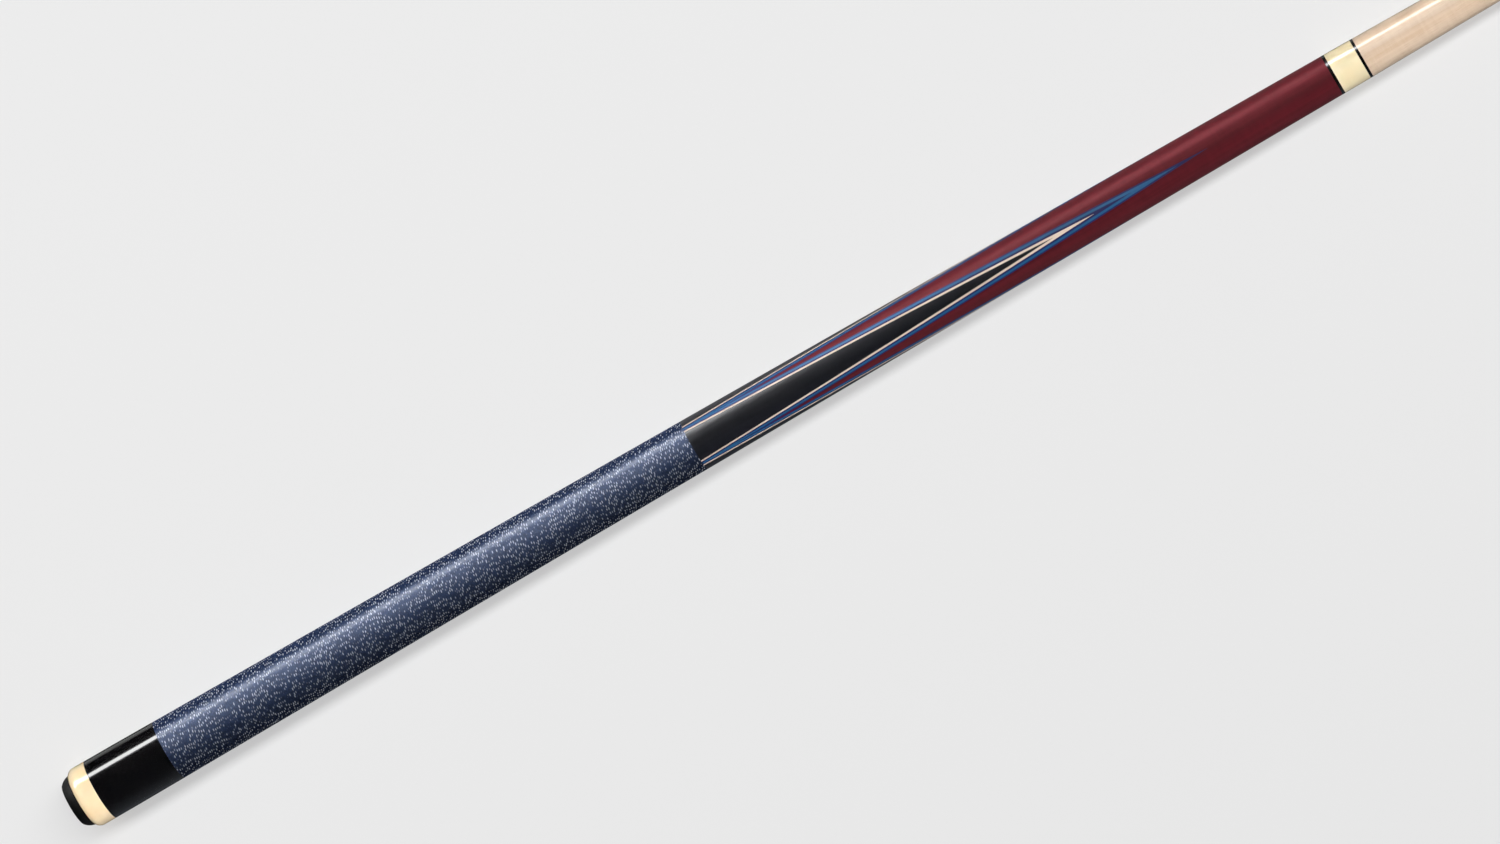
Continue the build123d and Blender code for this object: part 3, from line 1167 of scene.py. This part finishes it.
def make_shaft():
    """Shaft with a tenon at each end, bored for its bush and for the joint pin."""
    front_tenon = FERRULE_START + FERRULE_TENON_LENGTH
    slope_before = (TAPER_BREAK_RADIUS - SHAFT_RADIUS) / (TAPER_BREAK - SHOULDER)
    slope_after = (FERRULE_RADIUS - TAPER_BREAK_RADIUS) / (FERRULE_START - TAPER_BREAK)
    blend = []
    for t in np.linspace(0, 1, 16):
        x = TAPER_BREAK + TAPER_BLEND * (2 * t - 1)
        rise = -slope_before * (1 - t) ** 2 + slope_after * t**2
        blend.append((x, TAPER_BREAK_RADIUS + TAPER_BLEND * rise))
    outline = [
        (JOINT_FACE, INSERT_RADIUS),
        (JOINT_FACE, JOINT_TENON),
        (SHOULDER, JOINT_TENON),
        (SHOULDER, SHAFT_RADIUS),
        *blend,
        (FERRULE_START, FERRULE_RADIUS),
        (FERRULE_START, FERRULE_TENON),
        (front_tenon, FERRULE_TENON),
        (front_tenon, 0),
        (JOINT_FACE + PIN_SOCKET_DEPTH, 0),
        (JOINT_FACE + PIN_SOCKET_DEPTH, PIN_CLEARANCE),
        (INSERT_END, PIN_CLEARANCE),
        (INSERT_END, INSERT_RADIUS),
    ]
    turned_piece("shaft", eased(outline))


def make_ferrule():
    front_tenon = FERRULE_START + FERRULE_TENON_LENGTH
    outline = [
        (FERRULE_START, FERRULE_TENON),
        (FERRULE_START, FERRULE_RADIUS),
        (PAD_START, FERRULE_RADIUS),
        (PAD_START, 0),
        (front_tenon, 0),
        (front_tenon, FERRULE_TENON),
    ]
    turned_piece("ferrule", eased(outline))


def make_tip():
    """The fibre pad, and the leather tip with its dome."""
    pad = [
        (PAD_START, 0),
        (PAD_START, FERRULE_RADIUS),
        (TIP_START, FERRULE_RADIUS),
        (TIP_START, 0),
    ]
    turned_piece("tip_pad", eased(pad))
    half_angle = math.degrees(math.asin(FERRULE_RADIUS / TIP_DOME))
    dome = arc((CUE_END - TIP_DOME, 0), TIP_DOME, half_angle, 0, steps=16)
    dome[-1] = (CUE_END, 0)
    leather = [(TIP_START, 0), (TIP_START, FERRULE_RADIUS), *dome]
    turned_piece("tip", eased(leather, TIP_EASE))


def make_cue():
    make_bumper()
    make_bumper_washer()
    make_bumper_screw()
    make_butt_cap()
    make_butt_sleeve()
    make_handle_core()
    make_wrap()
    make_weight_bolt()
    make_joint_stud()
    make_forearm_pieces()
    make_ring("joint_ring", JOINT_TENON)
    make_ring("joint_collar", JOINT_TENON)
    make_joint_pin()
    make_ring("shaft_ring", RING_BORE)
    make_shaft_insert()
    make_shaft()
    make_ferrule()
    make_tip()


# ---- Floor and light ----

FLOOR_SIZE = 60.0
FLOOR_LIGHT = (0.252, 0.252, 0.252, 1.0)
FLOOR_DARK = (0.248, 0.248, 0.248, 1.0)
FLOOR_GLOW = 0.535
CARD_COLOUR = (0.8, 0.88, 1.0)
CUE_MIDDLE = (CUE_END + HEAD_START) / 2


def make_floor():
    """A pale plane that touches the cue at the thick end of its cone and under the tip."""
    run = TIP_START - CONE_START
    slope = math.atan((BUTT_RADIUS - FERRULE_RADIUS) / run)
    mesh = bpy.data.meshes.new("floor")
    half = FLOOR_SIZE / 2
    corners = [(-half, -half, 0), (half, -half, 0), (half, half, 0), (-half, half, 0)]
    mesh.from_pydata(corners, [], [(0, 1, 2, 3)])
    floor = bpy.data.objects.new("floor", mesh)
    bpy.context.scene.collection.objects.link(floor)
    floor.location = (CONE_START, 0, -BUTT_RADIUS)
    floor.rotation_euler = (0, -slope, 0)
    floor.visible_glossy = False
    graph = Graph("floor", roughness=1.0, specular_ior_level=0.0)
    grain = graph.noise((400, 400, 400), detail=3)
    graph.set("Base Color", graph.mix(grain, FLOOR_LIGHT, FLOOR_DARK))
    graph.set("Emission Color", (1.0, 1.0, 1.0, 1.0))
    graph.set("Emission Strength", FLOOR_GLOW)
    mesh.materials.append(graph.material)


def make_strip(name, radiance, elevation, width, distance=1.2, side=1, length=4.0, **seen):
    """A long area light beside the cue and parallel to it. Elevation and width are in degrees.

    diffuse=False or glossy=False keeps it out of that kind of reflection.
    """
    angle = math.radians(elevation)
    away = Vector((0, side * math.cos(angle), math.sin(angle)))
    depth = 2 * distance * math.tan(math.radians(width) / 2)
    data = bpy.data.lights.new(name, "AREA")
    data.shape = "RECTANGLE"
    data.size = length
    data.size_y = depth
    data.energy = radiance * math.pi * length * depth
    light = bpy.data.objects.new(name, data)
    along = Vector((1, 0, 0))
    turn = Matrix((along, away.cross(along), away)).transposed().to_4x4()
    light.matrix_world = Matrix.Translation(Vector((CUE_MIDDLE, 0, 0)) + away * distance) @ turn
    light.visible_camera = False
    for key, value in seen.items():
        setattr(light, "visible_" + key, value)
    bpy.context.scene.collection.objects.link(light)
    return light


def lit_only(light, objects):
    """Keeps a light's effect to these objects; everything still casts a shadow in it."""
    receivers = bpy.data.collections.new(light.name)
    for made in objects:
        receivers.objects.link(made)
    light.light_linking.receiver_collection = receivers


def make_low_cards():
    """Three dim cards over each other, so that their reflection fades out at its edges."""
    cards = [
        make_strip("low_card", radiance=0.06, elevation=-32, width=62, side=-1, diffuse=False),
        make_strip("low_card_middle", radiance=0.035, elevation=-26, width=76, side=-1, diffuse=False),
        make_strip("low_card_top", radiance=0.025, elevation=-20, width=90, side=-1, diffuse=False),
    ]
    for card in cards:
        card.data.color = CARD_COLOUR
    return cards


def make_lights():
    """A high key, a strip and dim cards for the gloss, and softer lights for the matt wrap."""
    wrap = [bpy.data.objects["wrap_detail"]]
    others = [made for made in bpy.data.objects if made.name.endswith("_detail") and made not in wrap]
    floor = [bpy.data.objects["floor"]]

    key = make_strip(
        "key", radiance=11.2, elevation=72, width=14, distance=3.0, length=8.0, glossy=False
    )
    lit_only(key, others + floor)
    make_strip("gloss_strip", radiance=14.5, elevation=23.3, width=14, diffuse=False)
    edge_card = make_strip("edge_card", radiance=0.42, elevation=-46, width=26, diffuse=False)
    low_cards = make_low_cards()
    fill = make_strip("fill", radiance=1.5, elevation=15, width=40, side=-1, glossy=False)
    for light in (edge_card, fill, *low_cards):
        lit_only(light, others)
    wrap_key = make_strip(
        "wrap_key", radiance=6.4, elevation=60, width=18, distance=3.0, glossy=False
    )
    wrap_gloss = make_strip(
        "wrap_gloss", radiance=1.45, elevation=70, width=25, distance=3.0, diffuse=False
    )
    for light in (wrap_key, wrap_gloss):
        lit_only(light, wrap)


def make_world():
    """A pale backdrop that lights nothing."""
    world = bpy.data.worlds.new("studio")
    bpy.context.scene.world = world
    world.use_nodes = True
    world.node_tree.nodes["Background"].inputs["Color"].default_value = srgb(235, 235, 235)
    world.cycles_visibility.diffuse = False
    world.cycles_visibility.glossy = False


bpy.context.scene.view_settings.view_transform = "Standard"
make_camera()
make_cue()
make_floor()
make_lights()
make_world()
